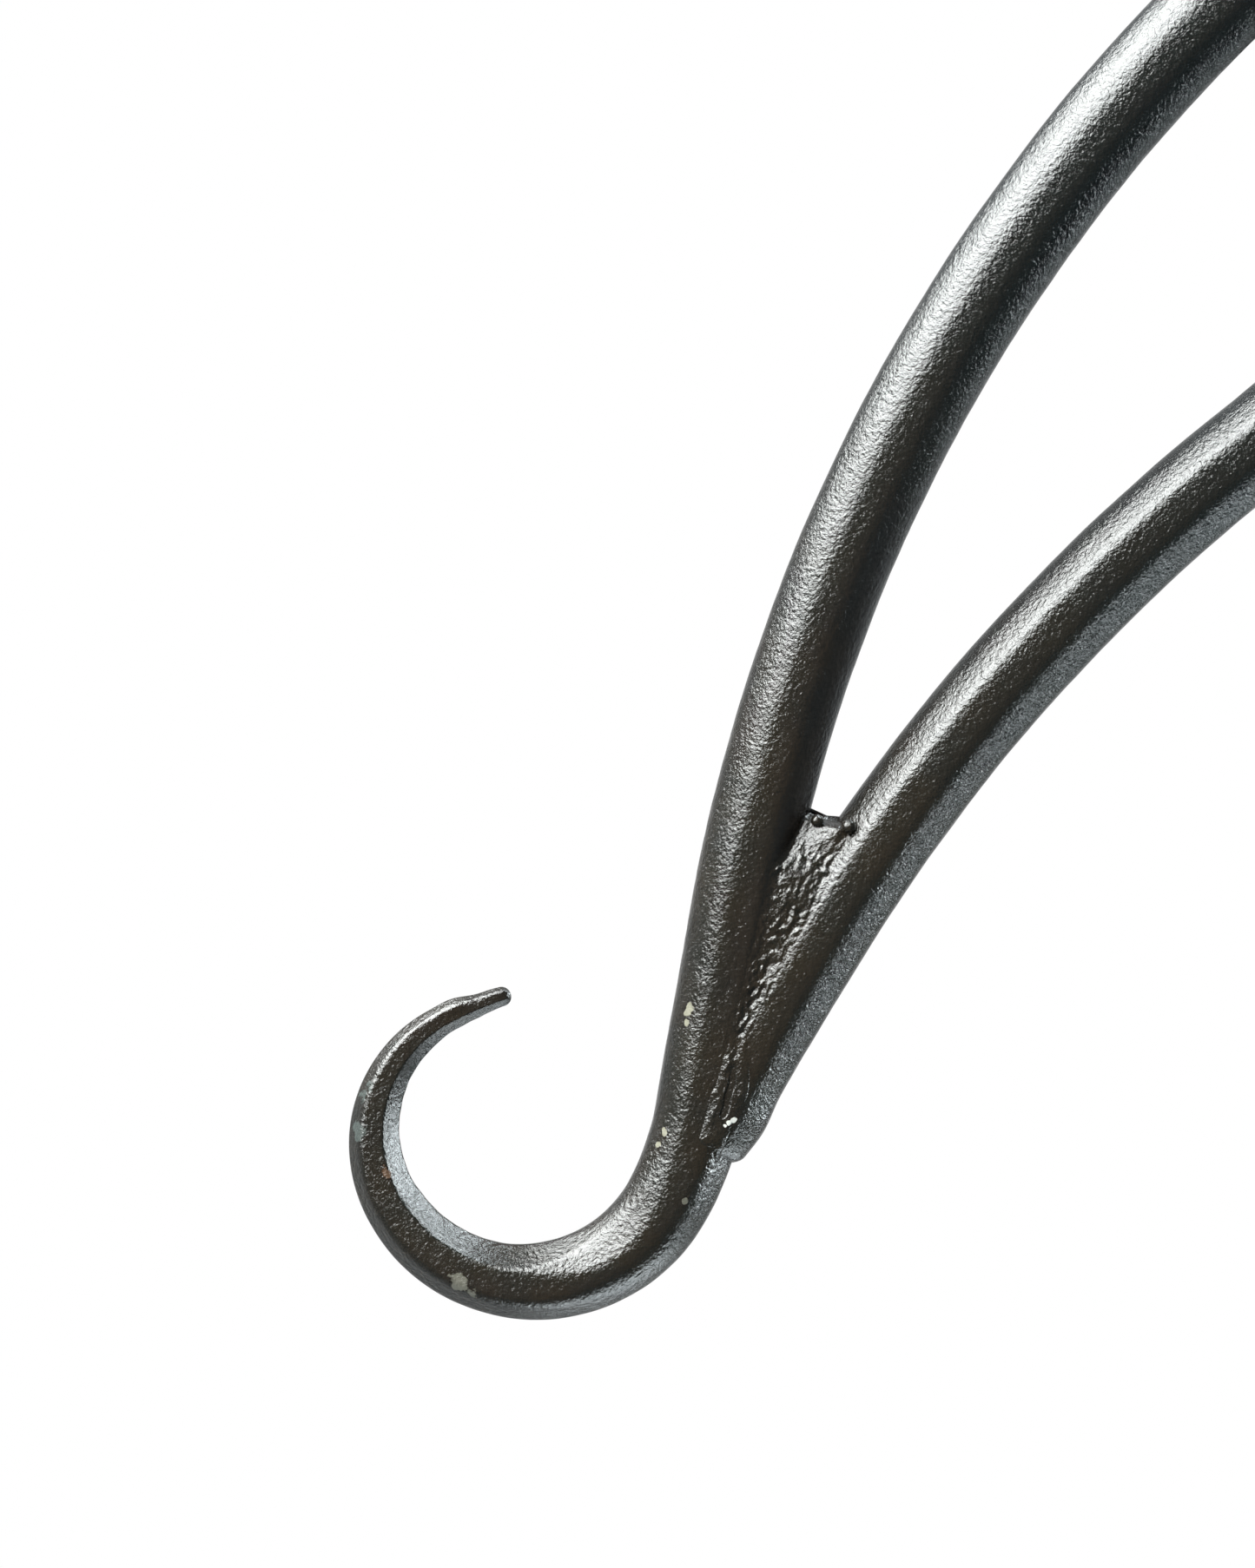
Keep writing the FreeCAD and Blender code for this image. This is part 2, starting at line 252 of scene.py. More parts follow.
def hooked_path(share):
    """From the hub down to the hook's tip, and the lengths at which the neck and the hook start."""
    path = Path(direction(ARM_HEADING - 90) * BAR_OFFSET, ARM_HEADING)
    path.run(HUB_RUN * share)
    path.arc(SWEEP_RADIUS * share, NECK_HEADING - ARM_HEADING)
    neck = path.lengths()[-1], path.points[-1]
    path.run(NECK_RUN * share)
    hook_start = path.lengths()[-1]
    for radius, turn in BENDS:
        path.arc(radius * share, -turn)
    return path, neck[0], neck[1], hook_start


def scarfed_path(share, neck_point):
    """From the hub onto the neck of the other bar."""
    finish = neck_point + direction(NECK_HEADING) * SCARF_ALONG * share
    finish = finish + direction(NECK_HEADING + 90) * SCARF_ACROSS
    arc_end = finish - direction(SCARF_HEADING) * SCARF_RUN * share
    path = Path(direction(ARM_HEADING + 90) * BAR_OFFSET, ARM_HEADING)
    straight, radius = straight_and_arc(path.points[0], ARM_HEADING, arc_end, SCARF_HEADING)
    path.run(straight)
    path.arc(radius, SCARF_HEADING - ARM_HEADING)
    path.run(SCARF_RUN * share)
    return path


def smooth(low, high, value):
    share = np.clip((value - low) / (high - low), 0.0, 1.0)
    return share * share * (3 - 2 * share)


def noise(points, scale, seed):
    """Seeded smooth noise of about -1 to 1 at points in mm. The scale, or one for each axis, is its grain."""
    random = np.random.RandomState(seed)
    order = random.permutation(256)
    slopes = random.normal(size=(256, 3))
    slopes /= np.linalg.norm(slopes, axis=1)[:, None]
    spread = np.asarray(points) / np.asarray(scale, float)
    cell = np.floor(spread).astype(int)
    part = spread - cell
    ease = part ** 3 * (part * (part * 6 - 15) + 10)
    total = np.zeros(len(spread))
    for corner in np.ndindex(2, 2, 2):
        corner = np.array(corner)
        key = cell + corner
        pick = order[(order[(order[key[:, 0] & 255] + key[:, 1]) & 255] + key[:, 2]) & 255]
        weight = np.prod(np.where(corner, ease, 1 - ease), axis=1)
        total += weight * np.einsum("ij,ij->i", slopes[pick], part - corner)
    return total * 1.7


def noise_on(grid, scale, seed):
    """Noise at each point of a grid of points."""
    return noise(grid.reshape(-1, 3), scale, seed).reshape(grid.shape[:-1])


# ---- meshes -------------------------------------------------------------------------------------

def grid_faces(rows, columns, closed):
    """Quads of a grid of points, row after row; closed joins the last column to the first."""
    row = np.arange(rows - 1)[:, None]
    column = np.arange(columns if closed else columns - 1)[None, :]
    after = (column + 1) % columns
    corners = [row * columns + column, row * columns + after, (row + 1) * columns + after,
               (row + 1) * columns + column]
    return np.stack(np.broadcast_arrays(*corners), -1).reshape(-1, 4)


def add_object(name, data):
    """An object in the scene."""
    made = bpy.data.objects.new(name, data)
    bpy.context.scene.collection.objects.link(made)
    return made


def add_mesh(name, points, faces):
    """An object in the scene with a mesh of its own."""
    mesh = bpy.data.meshes.new(name)
    mesh.from_pydata([tuple(point) for point in points], [], [tuple(face) for face in faces])
    return add_object(name, mesh)


def face_outwards(mesh):
    """Turn every face of each closed shell to look out."""
    shells = bmesh.new()
    shells.from_mesh(mesh)
    bmesh.ops.recalc_face_normals(shells, faces=shells.faces)
    shells.to_mesh(mesh)
    shells.free()


def add_piece(name, points, faces, body, material, node):
    """A smooth mesh piece from points in the row's frame, in metres, in place of a node."""
    piece = add_mesh(name, points, faces)
    piece.data.validate()
    face_outwards(piece.data)
    piece.data.shade_smooth()
    piece.data.materials.append(material)
    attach(piece, body)
    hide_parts(node)


def closed_tube(rings):
    """Points and faces of a tube of rings of points, closed at both ends by a fan."""
    rows, columns = rings.shape[:2]
    points = rings.reshape(-1, 3)
    faces = [tuple(face) for face in grid_faces(rows, columns, True)]
    first, last, last_row = len(points), len(points) + 1, (rows - 1) * columns
    for column in range(columns):
        after = (column + 1) % columns
        faces += [(first, after, column), (last, last_row + column, last_row + after)]
    return np.vstack([points, rings[0].mean(axis=0), rings[-1].mean(axis=0)]), faces


def joined(parts):
    """Several (points, faces) as one."""
    points, faces, base = [], [], 0
    for part_points, part_faces in parts:
        points.append(part_points)
        faces += [tuple(base + corner for corner in face) for face in part_faces]
        base += len(part_points)
    return np.vstack(points), faces


def section_reach(angle, flats):
    """Reach of a unit round section with hammered flats: (facing, distance, how far it is formed)."""
    total = 1.0
    for facing, distance, formed in flats:
        toward = np.maximum(np.cos(angle - math.radians(facing)), 0.0)
        total = total + (toward / (1.0 - (1.0 - distance) * formed)) ** FLAT_SHARPNESS
    return total ** (-1.0 / FLAT_SHARPNESS)


def front_and_back(flats, formed, across=False):
    """The same flats in front and behind. Across puts them on the other flank."""
    result = []
    for facing, distance in flats:
        facing = 180 - facing if across else facing
        result += [(facing, distance, formed), (-facing, distance, formed)]
    return result


# ---- bars ---------------------------------------------------------------------------------------

class HookedHalf:
    """Half bar that ends in the hook of its arm, laid out for the lower arm."""

    def __init__(self, share):
        self.share = share
        path, self.neck_at, self.neck_point, self.hook_at = hooked_path(share)
        self.points, self.headings, self.lengths = path.arrays()

    def radii(self, lengths):
        """Swelling at the hub, drawn down to the neck and tapered through the hook."""
        at = [0.0, self.neck_at, self.hook_at]
        radii = np.interp(lengths, at, [WAIST_RADIUS, NECK_START_RADIUS, NECK_END_RADIUS])
        gone = np.clip((lengths - self.hook_at) / (self.lengths[-1] - self.hook_at), 0.0, 1.0)
        return radii - (NECK_END_RADIUS - TIP_RADIUS) * gone ** TAPER_POWER

    def flats(self, lengths):
        neck = smooth(-16 * self.share, 2 * self.share, lengths - self.neck_at)
        neck = neck * (1 - smooth(2 * self.share, 14 * self.share, lengths - self.hook_at))
        hook = smooth(8 * self.share, 24 * self.share, lengths - self.hook_at)
        foot = np.exp(-((lengths - self.hook_at - 15 * self.share) / (7 * self.share)) ** 2)
        flats = front_and_back(NECK_FLATS, neck) + front_and_back(HOOK_FLATS, hook)
        return flats + front_and_back(HOOK_FOOT_FLATS, foot)


class ScarfedHalf:
    """Half bar whose end is scarfed onto the neck of the other bar, laid out for the lower arm."""

    def __init__(self, share, neck_point):
        self.share = share
        path = scarfed_path(share, neck_point)
        self.points, self.headings, self.lengths = path.arrays()

    def radii(self, lengths):
        tail = np.clip(1.0 - (self.lengths[-1] - lengths) / SCARF_TAPER_RUN, 0.0, 1.0)
        radii = WAIST_RADIUS - 0.2 * smooth(0.0, 60.0, lengths)
        return radii - (WAIST_RADIUS - 0.2 - SCARF_END_RADIUS) * tail ** 2

    def flats(self, lengths, across=False):
        return front_and_back(SCARF_FLATS, smooth(8.0, 24.0, lengths), across)


def with_round_ends(points, headings, lengths, radii):
    """Add stations past both ends whose shrinking radii close the bar in a dome."""
    dome = np.sin(np.linspace(0.0, math.pi / 2, 12)[1:-1])
    tail, nose = dome * radii[0] * TAIL_SHARE, dome * radii[-1] * NOSE_SHARE
    shrink = np.sqrt(1 - dome ** 2)
    behind = points[0] - direction(headings[0]) * tail[:, None]
    ahead = points[-1] + direction(headings[-1]) * nose[:, None]
    points = np.vstack([behind[::-1], points, ahead])
    headings = np.concatenate([np.full(len(dome), headings[0]), headings, np.full(len(dome), headings[-1])])
    lengths = np.concatenate([lengths[0] - tail[::-1], lengths, lengths[-1] + nose])
    radii = np.concatenate([radii[0] * shrink[::-1], radii, radii[-1] * shrink])
    return points, headings, lengths, radii


def swelling(distance, shape):
    """A smooth swelling (place, width, size) at distances from the end that it is measured from."""
    place_at, width, size = shape
    return size * np.exp(-((distance - place_at) / width) ** 2)


def make_bar(name, hooked, scarfed, opposite, seed, material, node):
    """A hand-forged bar, from its scarfed end past the hub to its hook's tip."""
    points = np.vstack([-scarfed.points[::-1][:-1], hooked.points])
    headings = np.concatenate([scarfed.headings[::-1][:-1], hooked.headings])
    lengths = np.concatenate([-scarfed.lengths[::-1][:-1], hooked.lengths])
    radii = np.where(lengths >= 0, hooked.radii(lengths), scarfed.radii(-lengths))
    points, headings, lengths, radii = with_round_ends(points, headings, lengths, radii)
    angle = np.linspace(0.0, 2 * math.pi, RING_POINTS, endpoint=False)[None, :]
    along = lengths[:, None]
    reach = section_reach(angle, hooked.flats(along) + scarfed.flats(-along, across=True))
    # the hump outside the hook before its blunt tip, and the swelling of the scarf's end
    outside, inside = np.clip(np.cos(angle), 0.0, 1.0), np.clip(-np.cos(angle), 0.0, 1.0)
    from_tip, from_scarf = along[-1] - along, along - along[0]
    reach = reach * (1 + (swelling(from_tip, TIP_HUMP) - swelling(from_tip, TIP_DIP)) * outside)
    reach = reach * (1 + swelling(from_scarf, SCARF_SWELL) * inside)
    spread = np.stack(np.broadcast_arrays(np.cos(angle), np.sin(angle), reach)[:2], axis=-1)
    offset = spread * (radii[:, None] * reach)[..., None]
    side = direction(headings + 90)[:, None, :]
    flat = np.concatenate([points[:, None, :] + side * offset[..., :1], offset[..., 1:]], axis=-1)
    # hammer marks and lumps under the paint, rougher where the bars are welded
    rough = 1 + 1.6 * np.exp(-((along - hooked.neck_at - 6 * hooked.share) / 16) ** 2)
    depths = [depth * noise_on(flat, grain, seed + layer) for layer, (grain, depth) in enumerate(LUMPS)]
    in_curl = inside * smooth(20.0, 30.0, along - hooked.hook_at)
    curl_grain, curl_depth = CURL_LUMPS
    push = np.clip(radii / WAIST_RADIUS, 0.0, 1.0)[:, None] * (depths[0] + depths[1] + depths[2] * rough)
    push = push + curl_depth * in_curl * noise_on(flat, curl_grain, seed + len(LUMPS))
    flat[..., :2] += side * (push * spread[..., 0])[..., None]
    flat[..., 2] += push * spread[..., 1]
    if opposite:
        flat[..., :2] *= -1.0
    mesh_points, faces = closed_tube(place(flat.reshape(-1, 3)).reshape(flat.shape))
    add_piece(name, mesh_points, faces, "dog", material, node)


# ---- seam welds ---------------------------------------------------------------------------------

def beside(half, plan):
    """Where layout points lie by a half bar: nearest station, distance past it, and to the side."""
    gaps = np.linalg.norm(plan[:, None, :] - half.points[None, :, :], axis=2)
    nearest = np.argmin(gaps, axis=1)
    step = plan - half.points[nearest]
    heading = half.headings[nearest]
    return nearest, np.sum(step * direction(heading), axis=1), np.sum(step * direction(heading + 90), axis=1)


def heights_over(half, plan):
    """Height of a half bar's surface over layout points, and 0 beside it or past its domed end."""
    nearest, past, across = beside(half, plan)
    radii = half.radii(half.lengths[nearest])
    past = np.where(nearest == len(half.points) - 1, np.maximum(past, 0.0), 0.0)
    shrink = np.sqrt(np.clip(1 - (past / (TAIL_SHARE * radii)) ** 2, 1e-6, 1.0))
    angle = np.linspace(0.0, math.pi, 90)[None, :]
    reach = section_reach(angle, half.flats(half.lengths[nearest][:, None])) * (radii * shrink)[:, None]
    reach_across, reach_up = reach * np.cos(angle), reach * np.sin(angle)
    heights = [np.interp(at, x[::-1], h[::-1], 0.0, 0.0) for at, x, h in zip(across, reach_across, reach_up)]
    return np.array(heights)


def soft_max(first, second, blend):
    near = np.maximum(blend - np.abs(first - second), 0.0) / np.maximum(blend, 1e-6)
    return np.maximum(first, second) + near * near * blend / 4


def ball(centre, radius, rows=14, columns=24):
    """Rings of a small sphere, for closed_tube."""
    up = np.linspace(-1, 1, rows + 2)[1:-1] * math.pi / 2
    round_it = np.linspace(0, 2 * math.pi, columns, endpoint=False)
    rings = np.stack([np.cos(up)[:, None] * np.cos(round_it), np.cos(up)[:, None] * np.sin(round_it),
                      np.broadcast_to(np.sin(up)[:, None], (rows, columns))], axis=-1)
    return np.asarray(centre) + rings * radius


class SeamGrid:
    """Rows and columns of a seam weld, laid out for the lower arm, from crotch to scarf's end."""

    def __init__(self, hooked, scarfed):
        self.share = share = hooked.share
        nearest, past, side = beside(hooked, scarfed.points)
        stations = hooked.lengths[nearest] + past
        top = np.interp(-SEAM_TOP * share, scarfed.lengths - scarfed.lengths[-1], stations)
        bottom = stations[-1] + SEAM_PAST_END * share
        station = np.linspace(top, bottom, int((bottom - top) / SEAM_STEP))
        self.along = station - top
        self.to_end = (station - stations[-1]) / share
        self.ending = smooth(-9.0, -3.0, self.to_end)
        # it spans from the neck's top to the scarf's, and over the whole of the scarf at its end
        self.gap = np.interp(station, stations, side)
        climb = BORDER_CLIMB * smooth(0.0, 7.0 * share, self.along)
        self.left = NECK_START_RADIUS * (BORDER_AT_CROTCH - climb - BORDER_PAST_NECK * self.ending)
        right = self.gap - NECK_START_RADIUS * (BORDER_AT_CROTCH - climb)
        right = right + BORDER_PAST_SCARF * SCARF_END_RADIUS * self.ending
        self.right = np.maximum(right, self.left + SEAM_LEAST_WIDTH)
        self.column = np.linspace(0.0, 1.0, SEAM_COLUMNS)
        self.across = self.left[:, None] + (self.right - self.left)[:, None] * self.column
        self.shape = self.across.shape
        self.down = np.broadcast_to(self.along[:, None], self.shape)
        heading = np.interp(station, hooked.lengths, hooked.headings)
        neck = np.array([np.interp(station, hooked.lengths, hooked.points[:, axis]) for axis in (0, 1)]).T
        dip = (1 - (2 * self.column - 1) ** 2) * np.clip(1 - self.along / 6.0, 0.0, 1.0)[:, None]
        plan = neck[:, None, :] + direction(heading + 90)[:, None, :] * self.across[..., None]
        self.plan = plan + direction(heading)[:, None, :] * (LIP_DIP * dip)[..., None]

    def over(self, half):
        """Height of a half bar's surface over the grid."""
        return heights_over(half, self.plan.reshape(-1, 2)).reshape(self.shape)

    def noise(self, scale, seed):
        """Noise over the grid, its grain along and across the scarf."""
        along_scarf = self.plan @ direction(SCARF_HEADING - 12)
        across_scarf = self.plan @ direction(SCARF_HEADING + 78)
        return noise_on(np.stack([along_scarf, across_scarf, np.zeros(self.shape)], axis=-1), scale, seed)

    def inner(self, left_share, right_share):
        """1 inside, falling to 0 at both borders over these shares of the width."""
        return smooth(0.0, left_share, self.column) * (1 - smooth(1 - right_share, 1.0, self.column))


def seam_surface(grid, hooked, scarfed, seed):
    """Height of the weld's skin: wrinkled fill between the bars, a crevice, and borders that dive."""
    over_neck, over_scarf = grid.over(hooked), grid.over(scarfed)
    down, to_end, share = grid.down, grid.to_end, grid.share
    # the fill slopes up from the neck's flank to the scarf's shoulder, and comes flush further down
    slope = 0.50 * (1 - smooth(0.5, 5.5 * share, down))
    fill = LIP_HEIGHT + FILL_RISE * smooth(-1.0, 8.0 * share, down)
    fill = fill + slope * (grid.across - NECK_START_RADIUS * 0.86)
    flush = np.minimum(over_neck.max(axis=1) - FILL_BELOW_NECK * (1 - grid.ending), FILL_TOP)
    fill = -soft_max(-fill, -np.broadcast_to(flush[:, None], grid.shape), 0.6)
    bars = np.maximum(over_neck, over_scarf)
    raised = soft_max(soft_max(over_neck, over_scarf, 0.6), fill, 0.7) - bars
    raised = raised * grid.inner(0.34, 0.30)
    # wrinkles where the deposit froze, in patches, and fine ones under the lip
    filled = np.clip((raised - 0.04) / 0.20, 0.0, 1.0)
    patches = smooth(-0.30, 0.25, grid.noise(2.2, seed + 8))
    patches = smooth(2.0, 5.0, down) * (1 - smooth(-7.0, -4.0, to_end))[:, None] * patches
    ridges = 0.22 * (0.4 - np.abs(grid.noise((1.2, 0.8, 1.0), seed + 1))) + 0.13 * grid.noise(0.55, seed + 2)
    fine = 0.06 * grid.noise((1.1, 0.6, 1.0), seed + 3) + 0.03 * grid.noise(0.4, seed + 6)
    surface = bars + raised - SEAM_SINK
    surface = surface + filled * patches * ridges + filled * smooth(0.5, 2.0, down) * fine
    # the crevice beside the scarf's end
    (first_at, first_across), (last_at, last_across) = CREVICE
    crevice_at = np.interp(to_end, [first_at, last_at], [first_across * share, last_across * share])
    wander = np.column_stack([grid.along / 1.5, 0 * grid.along, 0 * grid.along])
    crevice_at = (crevice_at + 0.22 * noise(wander, 1.0, seed + 4))[:, None]
    groove = smooth(first_at, first_at + 1.8, to_end) * (1 - smooth(last_at - 0.3, last_at, to_end))
    groove = groove[:, None] * np.exp(-((grid.across - crevice_at) / CREVICE_WIDTH) ** 2)
    surface = surface - CREVICE_DEPTH * groove
    # the borders and the lower end dive under the bars, and the upper end rounds off into the lip
    surface = surface - EDGE_SINK * (1 - grid.inner(0.16, 0.16))
    surface = surface - END_SINK * smooth(SEAM_PAST_END - 1.6, SEAM_PAST_END, to_end)[:, None]
    rounding = np.clip(down / LIP_ROUND, 0.004, 1.0)
    surface = surface * np.sqrt(1 - (1 - rounding) ** 2)
    return np.maximum(surface, SEAM_UNDERSIDE + 0.02)


def spatter_balls(grid, skin):
    """The balls of weld metal that froze on the lip, one by each bar."""
    out, down, radius = NECK_SPATTER
    balls = [(NECK_START_RADIUS + out, down, radius)]
    out, down, radius = SCARF_SPATTER
    balls.append((grid.gap[0] - NECK_START_RADIUS + out, down, radius))
    for across, down, radius in balls:
        row = int(down / SEAM_STEP)
        column = int((across - grid.left[row]) / (grid.right[row] - grid.left[row]) * (SEAM_COLUMNS - 1))
        column = min(max(column, 0), SEAM_COLUMNS - 1)
        centre = skin[row, column] + np.array([0.0, 0.0, SPATTER_OUT * radius])
        yield closed_tube(ball(centre, radius * grid.share))


def make_seam_weld(node, hooked, scarfed, opposite, facing, seed, material):
    """Weld between the neck and the scarf on one face. Facing is 1 in front and -1 behind."""
    grid = SeamGrid(hooked, scarfed)
    surface = seam_surface(grid, hooked, scarfed, seed)
    skin = np.concatenate([grid.plan, surface[..., None]], axis=-1)
    under = np.concatenate([grid.plan[:, ::-1], np.full(grid.shape, SEAM_UNDERSIDE)[..., None]], axis=-1)
    parts = [closed_tube(np.concatenate([skin, under], axis=1))]
    if facing > 0:
        parts += spatter_balls(grid, skin)
    points, faces = joined(parts)
    points[:, 2] *= facing
    if opposite:
        points[:, :2] *= -1.0
    add_piece(node + "_bead", place(points), faces, "dog", material, node)


# ---- turned pieces and their welds --------------------------------------------------------------

SCREW_PLACES = [direction(SCREW_FIRST_ANGLE + 90.0 * number) * SCREW_CIRCLE for number in range(4)]


def rounded(corners, closed=False, step=0.7):
    """An outline through corners (radius, station, rounding), in mm, with points at least this often."""
    corners = np.array(corners, float)
    spots, count = [], len(corners)
    for index, (radius, station, rounding) in enumerate(corners):
        corner = np.array([radius, station])
        if rounding == 0.0 or (not closed and index in (0, count - 1)):
            spots.append(corner)
            continue
        before, after = corners[index - 1, :2] - corner, corners[(index + 1) % count, :2] - corner
        start = corner + before / np.linalg.norm(before) * rounding
        end = corner + after / np.linalg.norm(after) * rounding
        for share in np.linspace(0.0, 1.0, 7):
            spots.append(start * (1 - share) ** 2 + corner * 2 * share * (1 - share) + end * share ** 2)
    if closed:
        spots.append(spots[0])
    outline = [spots[0]]
    for last, spot in zip(spots, spots[1:]):
        pieces = max(1, int(np.linalg.norm(spot - last) / step))
        outline += [last + (spot - last) * number / pieces for number in range(1, pieces + 1)]
    return np.array(outline[:-1] if closed else outline)


def around(radius, station, angle, centre=(0.0, 0.0)):
    """Points (right, station, up) of rings about an axis square to the wall."""
    right, up = centre[0] + radius * np.cos(angle), centre[1] + radius * np.sin(angle)
    return np.stack([right, station, up], axis=-1)


def turned(outline, columns, centre=(0.0, 0.0), closed=False, across_flats=None, worn=0.0, seed=0,
           reshape=None):
    """Points (right, station, up) and faces of a turned solid, or of a ring where the outline is closed.

    Across_flats cuts it to a hexagon, worn is the depth of its hammered unevenness, and reshape may move
    the radii as a function of (radius, station, angle).
    """
    angle = np.linspace(0.0, 2 * math.pi, columns, endpoint=False)[None, :]
    radius = np.broadcast_to(outline[:, :1], (len(outline), columns))
    station = np.broadcast_to(outline[:, 1:], (len(outline), columns))
    if across_flats:
        facing = np.mod(angle, math.pi / 3) - math.pi / 6
        flat = np.broadcast_to(across_flats / 2 / np.cos(facing), radius.shape)
        radius = -soft_max(-radius, -flat, 0.25)
    if reshape:
        radius = reshape(radius, station, angle)
    if worn:
        surface = around(radius, station, angle)
        uneven = worn * (0.6 * noise_on(surface, 5.0, seed) + 0.4 * noise_on(surface, 2.0, seed + 1))
        tangent = np.gradient(outline, axis=0)
        tangent /= np.linalg.norm(tangent, axis=1)[:, None] + 1e-9
        radius = radius + uneven * np.abs(tangent[:, 1:])
        station = station + uneven * np.abs(tangent[:, :1])
    points = around(radius, station, angle, centre)
    if not closed:
        return closed_tube(points)
    faces = [tuple(face) for face in grid_faces(len(outline) + 1, columns, True) % (len(outline) * columns)]
    return points.reshape(-1, 3), faces


def add_turned(node, parts, body, material):
    """One piece of turned parts, whose stations are measured from the wall in mm, in place of a node."""
    points, faces = joined(parts)
    in_frame = MM * points * np.array([1.0, -1.0, 1.0]) + PIVOT * np.array([1.0, 0.0, 1.0])
    add_piece(node + "_piece", in_frame, faces, body, material, node)


def screw_thread(radius, station, angle):
    """Cuts a coarse wood thread behind the wall's face, and its point."""
    turn_on = station / SCREW_PITCH - angle / (2 * math.pi)
    crest = np.abs(turn_on - np.round(turn_on)) / 0.5
    depth = (SCREW_THREAD_RADIUS - SCREW_ROOT_RADIUS) * np.clip(crest * 1.6, 0.0, 1.0)
    threaded = smooth(-1.5, -5.0, station) * smooth(-SCREW_LENGTH, -SCREW_LENGTH + 4.0, station)
    return radius - depth * threaded * np.clip(radius / SCREW_THREAD_RADIUS, 0.0, 1.0)


def make_wall_screw(number, material):
    """Coach screw: chamfered hexagon head over a plain neck, then a coarse thread and a gimlet point."""
    centre = SCREW_PLACES[number - 1]
    head_back, head_front = PLATE_THICKNESS, PLATE_THICKNESS + SCREW_HEAD_HEIGHT
    corner, neck = SCREW_HEAD_FLATS / math.sqrt(3), SCREW_NECK_RADIUS
    head = rounded([(0.3, head_front, 0), (corner - 0.9, head_front, 0.5), (corner, head_front - 0.75, 0.2),
                    (corner, head_back + 0.02, 0.1), (neck - 0.4, head_back + 0.02, 0)], step=0.4)
    shank = rounded([(neck - 0.05, head_back + 0.3, 0), (neck - 0.05, 0.0, 0.2),
                     (SCREW_THREAD_RADIUS, -0.5, 0.2), (SCREW_THREAD_RADIUS, -SCREW_LENGTH + 5.0, 0.5),
                     (0.25, -SCREW_LENGTH, 0)], step=0.22)
    parts = [turned(head, 96, centre, across_flats=SCREW_HEAD_FLATS, worn=0.03, seed=200 + number),
             turned(shank, 56, centre, reshape=screw_thread)]
    add_turned("wall_screw_%d" % number, parts, "wall_mount", material)


def drilled(solid, drills):
    """Points and faces of one closed mesh less another."""
    blanks = [add_mesh("blank", *solid), add_mesh("drills", *drills)]
    cut = blanks[0].modifiers.new("drill", "BOOLEAN")
    cut.operation, cut.solver, cut.object = "DIFFERENCE", "EXACT", blanks[1]
    ready = blanks[0].evaluated_get(bpy.context.evaluated_depsgraph_get())
    result = bpy.data.meshes.new_from_object(ready)
    points = np.array([vertex.co[:] for vertex in result.vertices])
    faces = [tuple(face.vertices) for face in result.polygons]
    for blank in blanks:
        bpy.data.objects.remove(blank)
    bpy.data.meshes.remove(result)
    return points, faces


def make_wall_plate(material):
    """Forged disc with a rounded, unevenly hammered rim, its face sinking a little towards the rim."""
    thickness, bore = PLATE_THICKNESS, POST_SPIGOT_RADIUS
    outline = rounded([(bore, 0.0, 0.3), (PLATE_RADIUS, 0.0, 0.5), (PLATE_RADIUS, thickness, 2.5),
                       (bore, thickness, 0.3)], closed=True, step=0.5)

    def hammered(radius, station, angle):
        rim = smooth(PLATE_RADIUS - 3.0, PLATE_RADIUS, radius)
        return radius - rim * (0.12 + 0.12 * noise_on(around(radius, station, angle), 6.0, 301))

    points, faces = turned(outline, 220, closed=True, reshape=hammered)
    # hammer marks on the face, which stays flat round the screws and the post
    from_screws = np.min([np.hypot(*(points[:, (0, 2)] - centre).T) for centre in SCREW_PLACES], axis=0)
    from_post = np.hypot(points[:, 0], points[:, 2]) - POST_RADIUS
    free = smooth(4.2, 6.5, from_screws) * smooth(2.0, 4.5, from_post)
    marks = noise(points, 5.5, 302) * 0.6 + noise(points, 2.6, 303) * 0.4
    front = smooth(thickness - 1.0, thickness - 0.2, points[:, 1])
    points[:, 1] += front * free * (0.13 * marks - 0.16)
    through = rounded([(SCREW_NECK_RADIUS, -1.0, 0), (SCREW_NECK_RADIUS, thickness + 1.0, 0)])
    holes = [turned(through, 48, centre) for centre in SCREW_PLACES]
    add_turned("wall_plate", [drilled((points, faces), joined(holes))], "wall_mount", material)


def make_pivot_post(material):
    """Spigot, forged stem, shoulder, journal and threaded end, in one piece."""
    outline = rounded([(0.3, 0.0, 0), (POST_SPIGOT_RADIUS, 0.0, 0.3),
                       (POST_SPIGOT_RADIUS, PLATE_THICKNESS, 0), (POST_RADIUS, PLATE_THICKNESS, 0),
                       (POST_RADIUS, BACK_WASHER_AT, 0.8), (JOURNAL_RADIUS, BACK_WASHER_AT, 0),
                       (JOURNAL_RADIUS, LOCK_NUT_AT, 0.3), (THREAD_RADIUS, LOCK_NUT_AT, 0),
                       (THREAD_RADIUS, THREAD_END, 0.5), (0.3, THREAD_END, 0)])

    def forged(radius, station, angle):
        on_stem = smooth(PLATE_THICKNESS + 1, PLATE_THICKNESS + 4, station)
        on_stem = on_stem * smooth(BACK_WASHER_AT - 1, BACK_WASHER_AT - 4, station)
        surface = around(radius, station, angle)
        return radius + on_stem * 0.10 * (noise_on(surface, 6.0, 311) + 0.5 * noise_on(surface, 2.5, 312))

    add_turned("pivot_post", [turned(outline, 96, reshape=forged)], "wall_mount", material)


